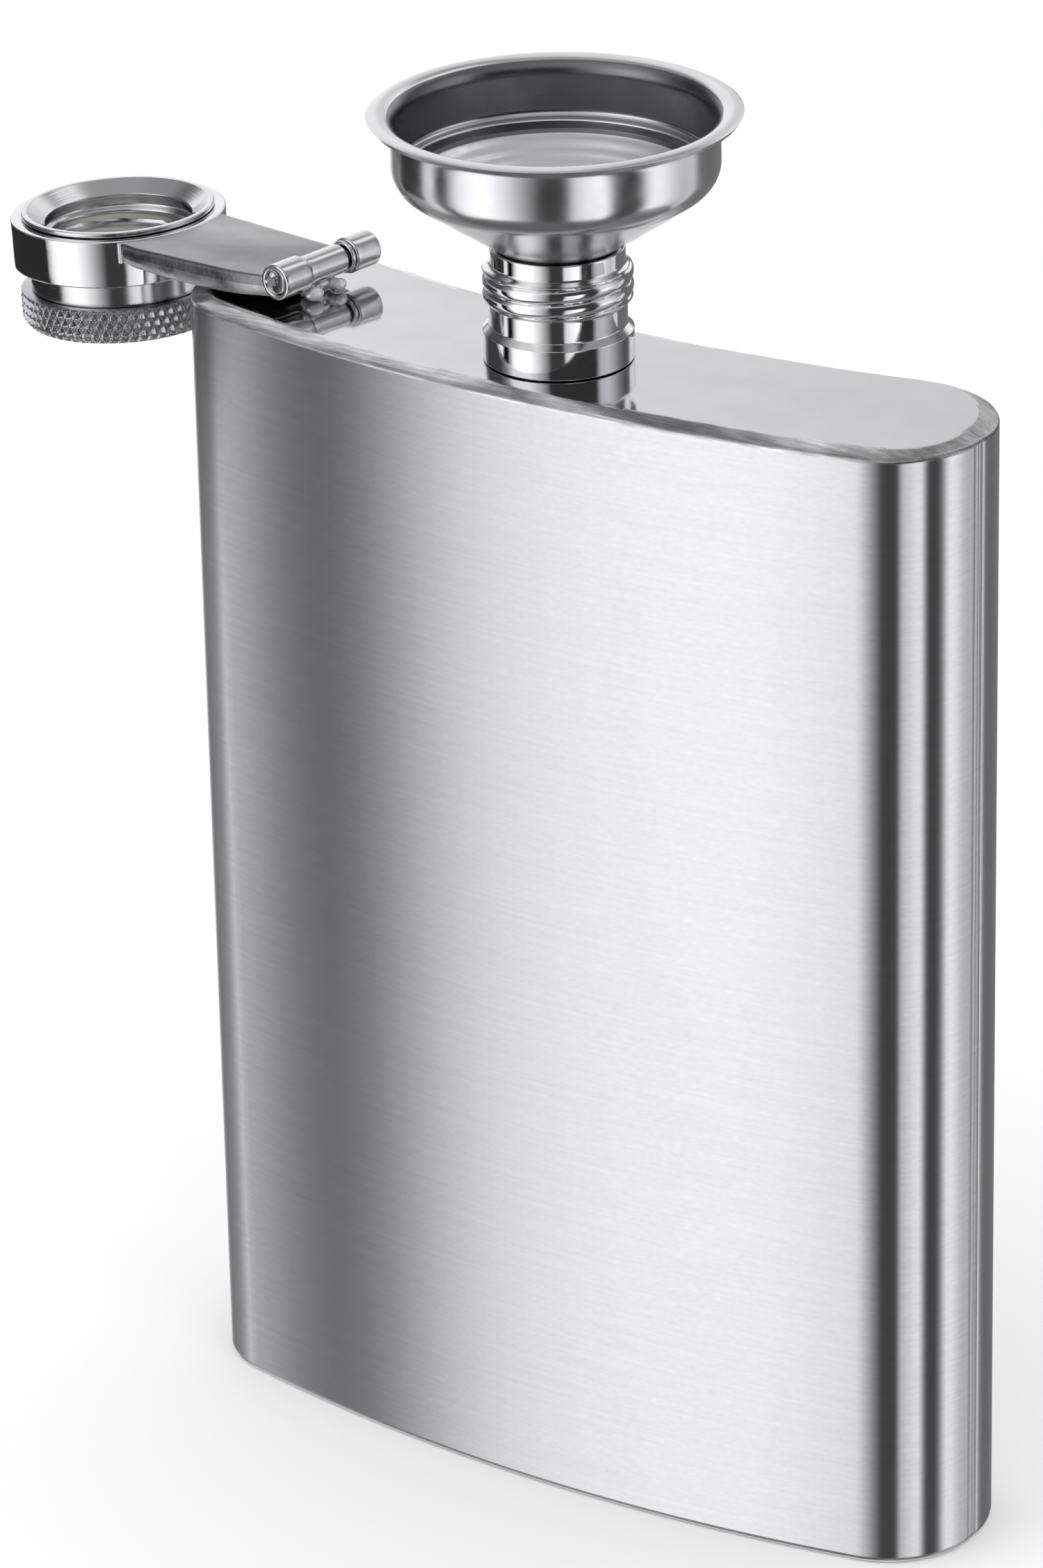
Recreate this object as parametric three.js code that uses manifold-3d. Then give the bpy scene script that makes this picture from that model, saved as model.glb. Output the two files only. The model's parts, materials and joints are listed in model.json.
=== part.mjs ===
// Hip flask with a hinged, captive screw cap and a loose filling funnel.
// Millimetres, +Z up, origin at the centre of the flat base, +X along the width, front towards -Y.
// The lid is laid open to the left with its cap upside down, and the funnel stands in the neck.
import * as THREE from 'three';
import { mergeVertices } from 'three/addons/utils/BufferGeometryUtils.js';
import Module from 'manifold-3d';

const wasm = await Module();
wasm.setup();

// ---- Flask body ----
const WIDTH = 95;
const HEIGHT = 125.7;
const THICKNESS = 23.2;
const FRONT_RADIUS = 188.5;         // the front face bows out
const BACK_RADIUS = 172;            // the back face is hollowed to sit on the hip
const FRONT_CORNER = 10.1;
const BACK_CORNER = 11.3;
const WALL = 0.7;
const PLATE = 1.2;                  // thickness of the top and bottom plates
const TOP_EDGE = { inset: 1.7, drop: 0.8 };
const BASE_EDGE = { inset: 0.8, drop: 0.5 };

// ---- Neck ----
const NECK_X = -0.9;
const NECK_BORE = 6.35;
const NECK_TUBE = 7.0;
const NECK_COLLAR = 7.8;
const NECK_HEIGHT = 12.15;
const NECK_SPIGOT = 3;              // length of the neck inside the flask
const THREAD_PITCH = 1.5;
const THREAD_DEPTH = 0.65;
const THREAD_START = 5.6;           // height of the lowest thread above the top plate

// ---- Hinge ----
const REACH = 31.9;                 // pin axis to the centre of the guide ring
const HINGE_SKEW = 7.5;             // degrees that the pin is turned from the Y axis
const HINGE_RISE = 3.1;             // pin axis above the top plate
const OPEN_DROOP = 3;               // degrees that the opened lid hangs below level
const PIN_RADIUS = 0.8;
const PIN_BORE = 1.1;
const KNUCKLE_RADIUS = 1.95;
const BARREL_RADIUS = 1.65;
const FRONT_KNUCKLE = [4.9, 8.7];   // along the pin, positive towards the front
const CENTRE_BARREL = [-0.9, 4.75];
const BACK_KNUCKLE = [-5.6, -2.0];
const SPACER = [-2.0, -1.4];        // collar between the back knuckle and the barrel
const SPACER_RADIUS = 1.75;

// ---- Lid arm and guide ring ----
const ARM_TOP = 0.35;               // above the pin axis when the lid is open
const ARM_THICK = 1.9;
const ARM_FRONT = 9.0;
const ARM_BACK = [-3.5, -5.3];      // back edge at the hinge and at the ring
const RING_OUTER = 11.7;
const RING_BORE = 10.2;
const RING_HEIGHT = 5.15;

// ---- Screw cap, heights measured along the ring axis from the pin axis ----
const LIP_TOP = 0.95;
const LIP_RADIUS = 10.45;
const BARREL_OUTER = 10.0;
const SEAT_RADIUS = 9.6;            // part of the barrel that is held inside the knob
const MOUTH_RADIUS = 9.75;
const CAP_BORE = 8.4;               // inside the thread, wide enough to swing over the neck
const CAP_THREAD = 0.35;
const CAP_THREAD_START = -1.1;
const KNOB_RADIUS = 11.2;
const KNOB_FACE = -7.55;
const KNOB_END = -11.45;
const KNOB_FLOOR = -10.8;
const KNOB_ROUND = 1.1;
const SEAL_RADIUS = 8.8;
const SEAL_THICK = 0.5;

// ---- Funnel, heights above the top plate ----
const SHEET = 0.55;
const BOWL_RADIUS = 16.85;
const RIM_RADIUS = 19.2;
const RIM_HEIGHT = 26.6;
const BOWL_FOOT = 19.3;             // where the upright wall meets the cone
const CONE_END = 12.2;              // where the cone rests on the rim of the neck
const CONE_MOUTH = 6.4;
const SPOUT_TOP = 5.95;
const SPOUT_TIP = 5.3;
const SPOUT_END = -2.6;
const SPOUT_WALL = 0.5;
const FIT_GAP = 0.05;

const ROUND = 72;                   // facets round a large circle
const SMALL_ROUND = 28;

const rad = THREE.MathUtils.degToRad;

function steel(color, roughness, metalness = 1) {
  return new THREE.MeshStandardMaterial({ color, roughness, metalness });
}

function named(name, geometry, material) {
  const mesh = new THREE.Mesh(geometry, material);
  mesh.name = name;
  return mesh;
}

// ---- Joining and cutting ----
function solid(geometry) {
  const bare = geometry.clone();
  bare.deleteAttribute('normal');
  bare.deleteAttribute('uv');
  const merged = mergeVertices(bare, 1e-5);
  return new wasm.Manifold(new wasm.Mesh({
    numProp: 3,
    vertProperties: new Float32Array(merged.attributes.position.array),
    triVerts: new Uint32Array(merged.index.array),
  }));
}

function surface(manifold) {
  const mesh = manifold.getMesh();
  const geometry = new THREE.BufferGeometry();
  geometry.setAttribute('position', new THREE.BufferAttribute(new Float32Array(mesh.vertProperties), 3));
  geometry.setIndex(new THREE.BufferAttribute(new Uint32Array(mesh.triVerts), 1));
  geometry.computeVertexNormals();
  return geometry;
}

// A solid of revolution about +Z from a closed list of [radius, height] points.
function turned(points, segments = ROUND) {
  const profile = points.map(([r, z]) => new THREE.Vector2(r, z));
  profile.push(profile[0].clone());
  let geometry = new THREE.LatheGeometry(profile, segments);
  geometry.rotateX(Math.PI / 2);
  const area = points.reduce((sum, [r, z], i) => {
    const [r2, z2] = points[(i + 1) % points.length];
    return sum + r * z2 - r2 * z;
  }, 0);
  if (area < 0) geometry = flipped(geometry);
  return geometry;
}

function flipped(geometry) {
  const index = geometry.index.array;
  for (let i = 0; i < index.length; i += 3) {
    const first = index[i];
    index[i] = index[i + 1];
    index[i + 1] = first;
  }
  return geometry;
}

// A round bar along the pin, between two places on it.
function barAlongPin(radius, [from, to], segments = SMALL_ROUND) {
  const bar = new THREE.CylinderGeometry(radius, radius, to - from, segments);
  bar.translate(0, (from + to) / 2, 0);
  return bar;
}

function block([x0, x1], [y0, y1], [z0, z1]) {
  const box = new THREE.BoxGeometry(x1 - x0, y1 - y0, z1 - z0);
  box.translate((x0 + x1) / 2, (y0 + y1) / 2, (z0 + z1) / 2);
  return box;
}

// ---- Outline of the curved body, moved inwards by an inset ----
function arcPoints(cx, cy, r, from, to, steps) {
  return Array.from({ length: steps }, (_, i) => {
    const a = from + (to - from) * i / steps;
    return [cx + r * Math.cos(a), cy + r * Math.sin(a)];
  });
}

function bodyOutline(inset) {
  const frontY = FRONT_RADIUS - THICKNESS / 2;
  const backY = BACK_RADIUS + THICKNESS / 2;
  const fx = WIDTH / 2 - FRONT_CORNER;
  const bx = WIDTH / 2 - BACK_CORNER;
  const fy = frontY - Math.sqrt((FRONT_RADIUS - FRONT_CORNER) ** 2 - fx ** 2);
  const by = backY - Math.sqrt((BACK_RADIUS + BACK_CORNER) ** 2 - bx ** 2);
  const frontTurn = Math.atan2(fx, frontY - fy);
  const backTurn = Math.atan2(bx, backY - by);
  const down = -Math.PI / 2;
  const frontR = FRONT_RADIUS - inset;
  const backR = BACK_RADIUS + inset;
  const rf = FRONT_CORNER - inset;
  const rb = BACK_CORNER - inset;
  return [
    ...arcPoints(0, frontY, frontR, down - frontTurn, down + frontTurn, 28),
    ...arcPoints(fx, fy, rf, down + frontTurn, 0, 9),
    ...arcPoints(bx, by, rb, 0, Math.PI / 2 + backTurn, 10),
    ...arcPoints(0, backY, backR, down + backTurn, down - backTurn, 28),
    ...arcPoints(-bx, by, rb, Math.PI / 2 - backTurn, Math.PI, 10),
    ...arcPoints(-fx, fy, rf, Math.PI, Math.PI * 1.5 - frontTurn, 9),
  ];
}

// A solid built from outlines stacked as [inset, height] levels.
function stacked(levels) {
  const rings = levels.map(([inset]) => bodyOutline(inset));
  const n = rings[0].length;
  const position = [];
  rings.forEach((ring, k) => ring.forEach(([x, y]) => position.push(x, y, levels[k][1])));
  const index = [];
  for (let k = 0; k < rings.length - 1; k += 1) {
    for (let i = 0; i < n; i += 1) {
      const j = (i + 1) % n;
      const a = k * n + i;
      const b = k * n + j;
      index.push(a, b, b + n, a, b + n, a + n);
    }
  }
  const cap = (ring) => THREE.ShapeUtils.triangulateShape(ring.map(([x, y]) => new THREE.Vector2(x, y)), []);
  cap(rings[0]).forEach(([a, b, c]) => index.push(a, c, b));
  const last = (rings.length - 1) * n;
  cap(rings[rings.length - 1]).forEach(([a, b, c]) => index.push(last + a, last + b, last + c));
  const geometry = new THREE.BufferGeometry();
  geometry.setAttribute('position', new THREE.Float32BufferAttribute(position, 3));
  geometry.setIndex(index);
  return geometry;
}

// ---- The pieces of the flask ----
function bodyShell() {
  const outside = solid(stacked([[0, PLATE], [0, HEIGHT - PLATE]]));
  const inside = solid(stacked([[WALL, PLATE - 1], [WALL, HEIGHT - PLATE + 1]]));
  return surface(outside.subtract(inside));
}

function topPlate() {
  const plate = solid(stacked([
    [0, HEIGHT - PLATE],
    [0, HEIGHT - TOP_EDGE.drop],
    [TOP_EDGE.inset, HEIGHT],
  ]));
  const hole = new THREE.CylinderGeometry(NECK_TUBE + FIT_GAP, NECK_TUBE + FIT_GAP, 4 * PLATE, ROUND);
  hole.rotateX(Math.PI / 2);
  hole.translate(NECK_X, 0, HEIGHT);
  return surface(plate.subtract(solid(hole)));
}

function bottomPlate() {
  return stacked([[BASE_EDGE.inset, 0], [0, BASE_EDGE.drop], [0, PLATE]]);
}

// Ridges of a screw thread, one per pitch, rising from start, or falling from it if up is -1.
function ridges(root, crest, start, turns, up = 1) {
  const flat = 0.12 * up;
  const step = THREAD_PITCH * up;
  const points = [[root, start]];
  for (let k = 0; k < turns; k += 1) {
    const middle = start + (k + 0.5) * step;
    points.push([crest, middle - flat], [crest, middle + flat], [root, middle + step / 2]);
  }
  return points;
}

function neck() {
  const root = NECK_COLLAR - THREAD_DEPTH;
  return turned([
    [NECK_BORE, -NECK_SPIGOT],
    [NECK_TUBE, -NECK_SPIGOT],
    [NECK_TUBE, 0],
    [NECK_COLLAR, 0],
    [NECK_COLLAR, 3.2],
    [root, 3.9],
    ...ridges(root, NECK_COLLAR, THREAD_START, 3),
    [NECK_TUBE, NECK_HEIGHT - 1.9],
    [NECK_TUBE, NECK_HEIGHT - 0.15],
    [NECK_TUBE - 0.15, NECK_HEIGHT],
    [NECK_BORE + 0.2, NECK_HEIGHT],
    [NECK_BORE, NECK_HEIGHT - 0.3],
  ]);
}

// The hinge barrel is held on a narrow foot, with two lumps of weld at its front.
function hingeBarrel() {
  const [from, to] = CENTRE_BARREL;
  const foot = block([-0.75, 0.75], [from + 0.3, to - 0.3], [-HINGE_RISE, -PIN_BORE - 0.2]);
  let body = solid(barAlongPin(BARREL_RADIUS, CENTRE_BARREL)).add(solid(foot));
  for (const [along, size] of [[from + 0.75, 0.75], [to - 0.95, 0.95]]) {
    const lump = new THREE.SphereGeometry(size, 14, 10);
    lump.translate(-0.75, along, -HINGE_RISE + size);
    body = body.add(solid(lump));
  }
  body = body.subtract(solid(barAlongPin(PIN_BORE, [from - 1, to + 1])));
  return surface(body);
}

function hingePin() {
  return barAlongPin(PIN_RADIUS, [BACK_KNUCKLE[0] + 0.25, FRONT_KNUCKLE[1] - 0.4], 20);
}

// ---- The pieces of the lid, in the lid's frame: x outwards, y to the front, z up ----
function lidArm() {
  const floor = ARM_TOP - ARM_THICK;
  const clear = BARREL_RADIUS + 0.35;
  const [hingeBack, ringBack] = ARM_BACK;
  const ringX = REACH - RING_OUTER + 1;
  const plan = new THREE.Shape([
    [clear, hingeBack], [ringX, ringBack], [REACH, ringBack], [REACH, ARM_FRONT], [clear, ARM_FRONT],
  ].map(([x, y]) => new THREE.Vector2(x, y)));
  const plate = new THREE.ExtrudeGeometry(plan, { depth: ARM_THICK, bevelEnabled: false });
  plate.translate(0, 0, floor);
  let arm = solid(plate);
  for (const [from, to] of [[FRONT_KNUCKLE[0], ARM_FRONT], [hingeBack, BACK_KNUCKLE[1]]]) {
    arm = arm.add(solid(block([0.2, clear + 1], [from, to], [floor, ARM_TOP])));
  }
  for (const knuckle of [FRONT_KNUCKLE, BACK_KNUCKLE]) {
    arm = arm.add(solid(barAlongPin(KNUCKLE_RADIUS, knuckle)));
  }
  arm = arm.add(solid(barAlongPin(SPACER_RADIUS, [SPACER[0] - 0.2, SPACER[1]])));
  const bore = barAlongPin(PIN_BORE, [BACK_KNUCKLE[0] - 1, FRONT_KNUCKLE[1] + 1]);
  const cut = new THREE.CylinderGeometry(RING_OUTER + FIT_GAP, RING_OUTER + FIT_GAP, 12, ROUND);
  cut.rotateX(Math.PI / 2);
  cut.translate(REACH, 0, 0);
  return surface(arm.subtract(solid(bore)).subtract(solid(cut)));
}

function guideRing() {
  const foot = ARM_TOP - RING_HEIGHT;
  return turned([
    [RING_BORE, foot],
    [RING_OUTER - 0.15, foot],
    [RING_OUTER, foot + 0.15],
    [RING_OUTER, ARM_TOP - 0.15],
    [RING_OUTER - 0.15, ARM_TOP],
    [RING_BORE, ARM_TOP],
  ]);
}

function capBarrel() {
  return turned([
    [BARREL_OUTER, ARM_TOP + FIT_GAP],
    [LIP_RADIUS, ARM_TOP + FIT_GAP],
    [LIP_RADIUS, LIP_TOP - 0.15],
    [LIP_RADIUS - 0.15, LIP_TOP],
    [MOUTH_RADIUS, LIP_TOP],
    [CAP_BORE, LIP_TOP - 1.55],
    ...ridges(CAP_BORE + CAP_THREAD, CAP_BORE, CAP_THREAD_START, 5, -1),
    [CAP_BORE, KNOB_FLOOR + 1.4],
    [SEAL_RADIUS + FIT_GAP, KNOB_FLOOR + 1.4],
    [SEAL_RADIUS + FIT_GAP, KNOB_FLOOR + FIT_GAP],
    [SEAT_RADIUS, KNOB_FLOOR + FIT_GAP],
    [SEAT_RADIUS, KNOB_FACE + FIT_GAP],
    [BARREL_OUTER, KNOB_FACE + FIT_GAP],
  ]);
}

function capKnob() {
  return turned([
    [0, KNOB_END],
    [KNOB_RADIUS - KNOB_ROUND, KNOB_END],
    [KNOB_RADIUS - 0.3 * KNOB_ROUND, KNOB_END + 0.3 * KNOB_ROUND],
    [KNOB_RADIUS, KNOB_END + KNOB_ROUND],
    [KNOB_RADIUS, KNOB_FACE - 0.25],
    [KNOB_RADIUS - 0.25, KNOB_FACE],
    [SEAT_RADIUS + FIT_GAP, KNOB_FACE],
    [SEAT_RADIUS + FIT_GAP, KNOB_FLOOR],
    [0, KNOB_FLOOR],
  ]);
}

function capSeal() {
  const z = KNOB_FLOOR + FIT_GAP;
  return turned([[0, z], [SEAL_RADIUS, z], [SEAL_RADIUS, z + SEAL_THICK], [0, z + SEAL_THICK]], 48);
}

// ---- The funnel, in the neck's frame ----
function funnelBowl() {
  const inner = BOWL_RADIUS - SHEET;
  const drop = SHEET * 1.2;         // upright thickness of the sloping floor
  return turned([
    [CONE_MOUTH, CONE_END],
    [BOWL_RADIUS - 0.6, BOWL_FOOT - 0.4],
    [BOWL_RADIUS, BOWL_FOOT + 0.4],
    [BOWL_RADIUS, RIM_HEIGHT - 1.1],
    [BOWL_RADIUS + 0.4, RIM_HEIGHT - SHEET],
    [RIM_RADIUS - 0.3, RIM_HEIGHT - SHEET - 0.2],
    [RIM_RADIUS, RIM_HEIGHT - SHEET],
    [RIM_RADIUS - 0.3, RIM_HEIGHT],
    [BOWL_RADIUS + 0.3, RIM_HEIGHT],
    [inner, RIM_HEIGHT - 0.8],
    [inner, BOWL_FOOT + drop + 0.5],
    [inner - 1.4, BOWL_FOOT + drop - 0.35],
    [CONE_MOUTH - 0.3, CONE_END + drop],
    [SPOUT_TOP + FIT_GAP, CONE_END + drop],
    [SPOUT_TOP + FIT_GAP, CONE_END],
  ]);
}

function funnelSpout() {
  return turned([
    [SPOUT_TIP - SPOUT_WALL, SPOUT_END],
    [SPOUT_TIP, SPOUT_END],
    [SPOUT_TOP, CONE_END - 2],
    [SPOUT_TOP, CONE_END + 0.5],
    [SPOUT_TOP - SPOUT_WALL, CONE_END + 0.5],
    [SPOUT_TOP - SPOUT_WALL, CONE_END - 2],
  ], 48);
}

// ---- Assembly ----
const flask = new THREE.Group();
flask.add(
  named('body_shell', bodyShell(), steel(0xb4b5b8, 0.32)),
  named('top_plate', topPlate(), steel(0xd5d6d8, 0.08)),
  named('bottom_plate', bottomPlate(), steel(0xb4b5b8, 0.35)),
);

const onNeck = new THREE.Group();
onNeck.position.set(NECK_X, 0, HEIGHT);
onNeck.add(
  named('neck', neck(), steel(0xd0d1d4, 0.12)),
  named('funnel_bowl', funnelBowl(), steel(0xc6c7ca, 0.22)),
  named('funnel_spout', funnelSpout(), steel(0xc6c7ca, 0.25)),
);

// The pin axis stands where the lid, once closed, brings its ring over the neck.
const skew = rad(HINGE_SKEW);
const hinge = new THREE.Group();
hinge.position.set(NECK_X - REACH * Math.cos(skew), REACH * Math.sin(skew), HEIGHT + HINGE_RISE);
hinge.rotation.set(0, 0, Math.PI - skew);
hinge.add(
  named('hinge_barrel', hingeBarrel(), steel(0xc9cacd, 0.15)),
  named('hinge_pin', hingePin(), steel(0x8e9094, 0.3)),
);

const lid = new THREE.Group();
lid.rotation.set(0, rad(OPEN_DROOP), 0);
lid.add(named('lid_arm', lidArm(), steel(0xa9aaad, 0.28)));
hinge.add(lid);

const ringAxis = new THREE.Group();
ringAxis.position.set(REACH, 0, 0);
ringAxis.add(
  named('guide_ring', guideRing(), steel(0xd0d1d4, 0.1)),
  named('cap_barrel', capBarrel(), steel(0xc3c4c7, 0.2)),
  named('cap_knob', capKnob(), steel(0xb9babd, 0.25)),
  named('cap_seal', capSeal(), steel(0xe4e2dc, 0.7, 0)),
);
lid.add(ringAxis);

flask.add(onNeck, hinge);

export default flask;
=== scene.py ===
"""Looks of a steel hip flask with a hinged screw cap and a filling funnel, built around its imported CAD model."""
import json
import math
from math import cos, pi, radians, sin

import bmesh
import bpy
from mathutils import Matrix, Vector, noise


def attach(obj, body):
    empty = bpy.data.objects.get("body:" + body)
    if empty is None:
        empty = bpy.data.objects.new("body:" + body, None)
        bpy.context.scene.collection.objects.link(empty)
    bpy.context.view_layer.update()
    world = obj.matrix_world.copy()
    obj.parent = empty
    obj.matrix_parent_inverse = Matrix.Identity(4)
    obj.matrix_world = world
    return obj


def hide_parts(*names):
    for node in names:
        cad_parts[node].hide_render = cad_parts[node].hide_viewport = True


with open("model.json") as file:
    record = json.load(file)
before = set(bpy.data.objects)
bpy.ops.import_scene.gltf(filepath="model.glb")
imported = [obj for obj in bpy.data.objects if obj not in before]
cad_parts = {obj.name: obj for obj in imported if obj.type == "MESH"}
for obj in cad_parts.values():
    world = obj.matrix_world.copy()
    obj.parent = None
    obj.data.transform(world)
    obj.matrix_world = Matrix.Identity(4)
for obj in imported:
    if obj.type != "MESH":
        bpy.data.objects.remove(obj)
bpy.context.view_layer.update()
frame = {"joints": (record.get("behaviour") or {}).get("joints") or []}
MM = 0.001

# ---- Driving sizes, the same as the CAD model's, in millimetres ----
WIDTH = 95
HEIGHT = 125.7
THICKNESS = 23.2
FRONT_RADIUS = 188.5
BACK_RADIUS = 172
FRONT_CORNER = 10.1
BACK_CORNER = 11.3
WALL = 0.7
PLATE = 1.2

NECK_X = -0.9
NECK_BORE = 6.35
NECK_TUBE = 7.0
NECK_ROOT = 7.15
NECK_COLLAR = 7.8
NECK_HEIGHT = 12.15
NECK_SPIGOT = 3
THREAD_PITCH = 1.5
COLLAR_TOP = 4.4
NECK_THREAD = (6.45, 10.15)      # lowest and highest ridge

PIN_RADIUS = 0.8
PIN_BORE = 1.1
KNUCKLE_RADIUS = 1.95
BARREL_RADIUS = 1.65
FRONT_KNUCKLE = (4.9, 8.7)
CENTRE_BARREL = (-0.9, 4.75)
BACK_KNUCKLE = (-5.6, -2.0)
SPACER = (-2.0, -1.4)
SPACER_RADIUS = 1.75

ARM_TOP = 0.35
ARM_THICK = 1.9
REACH = 31.9
RING_OUTER = 11.7
RING_BORE = 10.2
RING_FOOT = -4.8

LIP_TOP = 0.95
LIP_RADIUS = 10.45
BARREL_OUTER = 10.0
SEAT_RADIUS = 9.6
MOUTH_RADIUS = 9.75
MOUTH_THROAT = 7.95
CAP_BORE = 8.4
CAP_THREAD = (-8.6, -1.9)
CAP_GROOVE = 0.5
SEAL_GAP = -9.3                  # where the bore widens for the washer
KNOB_RADIUS = 11.2
KNOB_FACE = -7.55
KNOB_END = -11.45
KNOB_FLOOR = -10.8
SEAL_RADIUS = 8.8
SEAL_THICK = 0.5

SHEET = 0.55
BOWL_RADIUS = 16.85
RIM_HEIGHT = 26.6
BOWL_FOOT = 19.3
CONE_END = 12.2
CONE_MOUTH = 6.4
SPOUT_TOP = 5.95
SPOUT_TIP = 5.3
SPOUT_END = -2.6
SPOUT_WALL = 0.5

# ---- Frames of the moving parts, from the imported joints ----
joints = {j["name"]: j for j in frame["joints"]}
pin = Vector(joints["lid_swing"]["axis"]).normalized()
ring_axis = Vector(joints["cap_turn"]["axis"]).normalized()
hinge_at = Vector(joints["lid_swing"]["pos_m"])
ring_at = Vector(joints["cap_turn"]["pos_m"])


def placed(origin, x, y, z):
    """A matrix whose columns are the axes x, y, z, standing at origin."""
    turn = Matrix((x, y, z)).transposed().to_4x4()
    return Matrix.Translation(origin) @ turn


UP = Vector((0, 0, 1))
FRONT = -pin
IN_FLASK = Matrix.Translation((0, 0, 0))
IN_NECK = Matrix.Translation((NECK_X * MM, 0, HEIGHT * MM))
IN_HINGE = placed(hinge_at, FRONT.cross(UP), FRONT, UP)
IN_LID = placed(hinge_at, FRONT.cross(ring_axis), FRONT, ring_axis)
IN_RING = placed(ring_at, FRONT.cross(ring_axis), FRONT, ring_axis)
# a lathe turns about +Z, so this lays it along the pin with its height towards the front
ALONG_PIN = Matrix(((0, 1, 0, 0), (0, 0, 1, 0), (1, 0, 0, 0), (0, 0, 0, 1)))


# ---- Mesh helpers ----
def add_mesh(name, points, faces, at, sharp=32):
    """Makes a smooth-shaded object from points in millimetres."""
    mesh = bpy.data.meshes.new(name)
    mesh.from_pydata([at @ (Vector(p) * MM) for p in points], [], faces)
    tidy_normals(mesh, sharp)
    piece = bpy.data.objects.new(name, mesh)
    bpy.context.scene.collection.objects.link(piece)
    return piece


def tidy_normals(mesh, sharp):
    work = bmesh.new()
    work.from_mesh(mesh)
    bmesh.ops.remove_doubles(work, verts=work.verts, dist=1e-7)
    bmesh.ops.recalc_face_normals(work, faces=work.faces)
    work.to_mesh(mesh)
    work.free()
    mesh.shade_smooth()
    mesh.set_sharp_from_angle(angle=radians(sharp))


def fillet(outline, steps=4):
    """Rounds the corners of a closed outline of (r, z) or (r, z, radius) points."""
    out = []
    count = len(outline)
    for i, point in enumerate(outline):
        here = Vector(point[:2])
        radius = point[2] if len(point) > 2 else 0
        if not radius:
            out.append(tuple(here))
            continue
        before = Vector(outline[i - 1][:2]) - here
        after = Vector(outline[(i + 1) % count][:2]) - here
        u, v = before.normalized(), after.normalized()
        half = u.angle(v) / 2
        if abs(half - pi / 2) < 0.02:
            out.append(tuple(here))
            continue
        reach = min(radius / math.tan(half), 0.48 * before.length, 0.48 * after.length)
        radius = reach * math.tan(half)
        centre = here + (u + v).normalized() * (radius / sin(half))
        start = here + u * reach - centre
        end = here + v * reach - centre
        sweep = start.angle_signed(end)
        for k in range(steps + 1):
            turned = start.copy()
            turned.rotate(Matrix.Rotation(-sweep * k / steps, 2))
            out.append(tuple(centre + turned))
    return out


def split(outline, longest):
    """Divides the long sides of a closed outline."""
    out = []
    for i, (r, z) in enumerate(outline):
        r2, z2 = outline[(i + 1) % len(outline)]
        parts = max(1, math.ceil(math.hypot(r2 - r, z2 - z) / longest))
        out += [(r + (r2 - r) * k / parts, z + (z2 - z) * k / parts) for k in range(parts)]
    return out


def lathe(name, outline, at, segments=128, shape=None, sharp=32):
    """Turns a closed outline of (r, z) about +Z; shape(r, z, angle) may give a new (r, z)."""
    points, rings = [], []
    for r, z in outline:
        if r < 1e-6:
            rings.append([len(points)] * segments)
            points.append((0, 0, z))
            continue
        ring = []
        for k in range(segments):
            a = 2 * pi * k / segments
            r2, z2 = shape(r, z, a) if shape else (r, z)
            ring.append(len(points))
            points.append((r2 * cos(a), r2 * sin(a), z2))
        rings.append(ring)
    faces = []
    for i, low in enumerate(rings):
        high = rings[(i + 1) % len(rings)]
        for k in range(segments):
            m = (k + 1) % segments
            face = []
            for v in (low[k], low[m], high[m], high[k]):
                if v not in face:
                    face.append(v)
            if len(face) > 2:
                faces.append(face)
    return add_mesh(name, points, faces, at, sharp)


def applied(piece):
    """Turns a piece's modifiers into mesh."""
    graph = bpy.context.evaluated_depsgraph_get()
    mesh = bpy.data.meshes.new_from_object(piece.evaluated_get(graph))
    piece.modifiers.clear()
    old = piece.data
    piece.data = mesh
    bpy.data.meshes.remove(old)


def smoothstep(low, high, x):
    t = min(1, max(0, (x - low) / (high - low)))
    return t * t * (3 - 2 * t)


THREAD_FADE = 0.3                # height over which the first and last ridge die away


def thread(crest, low, high, start=0.0):
    """Raises helical ridges between two heights: round crests with narrow grooves half as deep as the crest."""
    def shape(r, z, a):
        if not low - THREAD_FADE < z < high + THREAD_FADE:
            return r, z
        turn = ((z - start) / THREAD_PITCH - a / (2 * pi)) % 1
        ridge = abs(sin(pi * turn)) ** 0.7
        begun = smoothstep(low - THREAD_FADE, low + THREAD_FADE, z)
        lift = begun * (1 - smoothstep(high - THREAD_FADE, high + THREAD_FADE, z))
        return r + crest * (0.5 + 0.5 * ridge) * lift, z
    return shape


# ---- Outline of the curved body ----
SEAM_LINES = (0.06, 0.46)        # places of the two fine grooves along the flat of the side
SEAM_DEPTH = 0.012
SEAM_WIDTH = 0.08
SIDE_BULGE = 0.022
CLEAR = 0.001                    # keeps the corners and the side just inside the CAD shape


def arc_points(cx, cy, r, start, end, steps):
    out = []
    for i in range(steps):
        a = start + (end - start) * i / steps
        out.append((cx + r * cos(a), cy + r * sin(a)))
    return out


def side_points(x, low, high, steps):
    """The flat between the corners of the +X side, with the two fine grooves beside the shell's ground weld."""
    out = []
    for i in range(steps):
        t = i / steps
        grooves = sum(math.exp(-((t - line) / SEAM_WIDTH) ** 2) for line in SEAM_LINES)
        bulge = SIDE_BULGE * (2 * t - 1) ** 2 + CLEAR
        out.append((x - SEAM_DEPTH * grooves - bulge, low + (high - low) * t))
    return out


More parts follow.
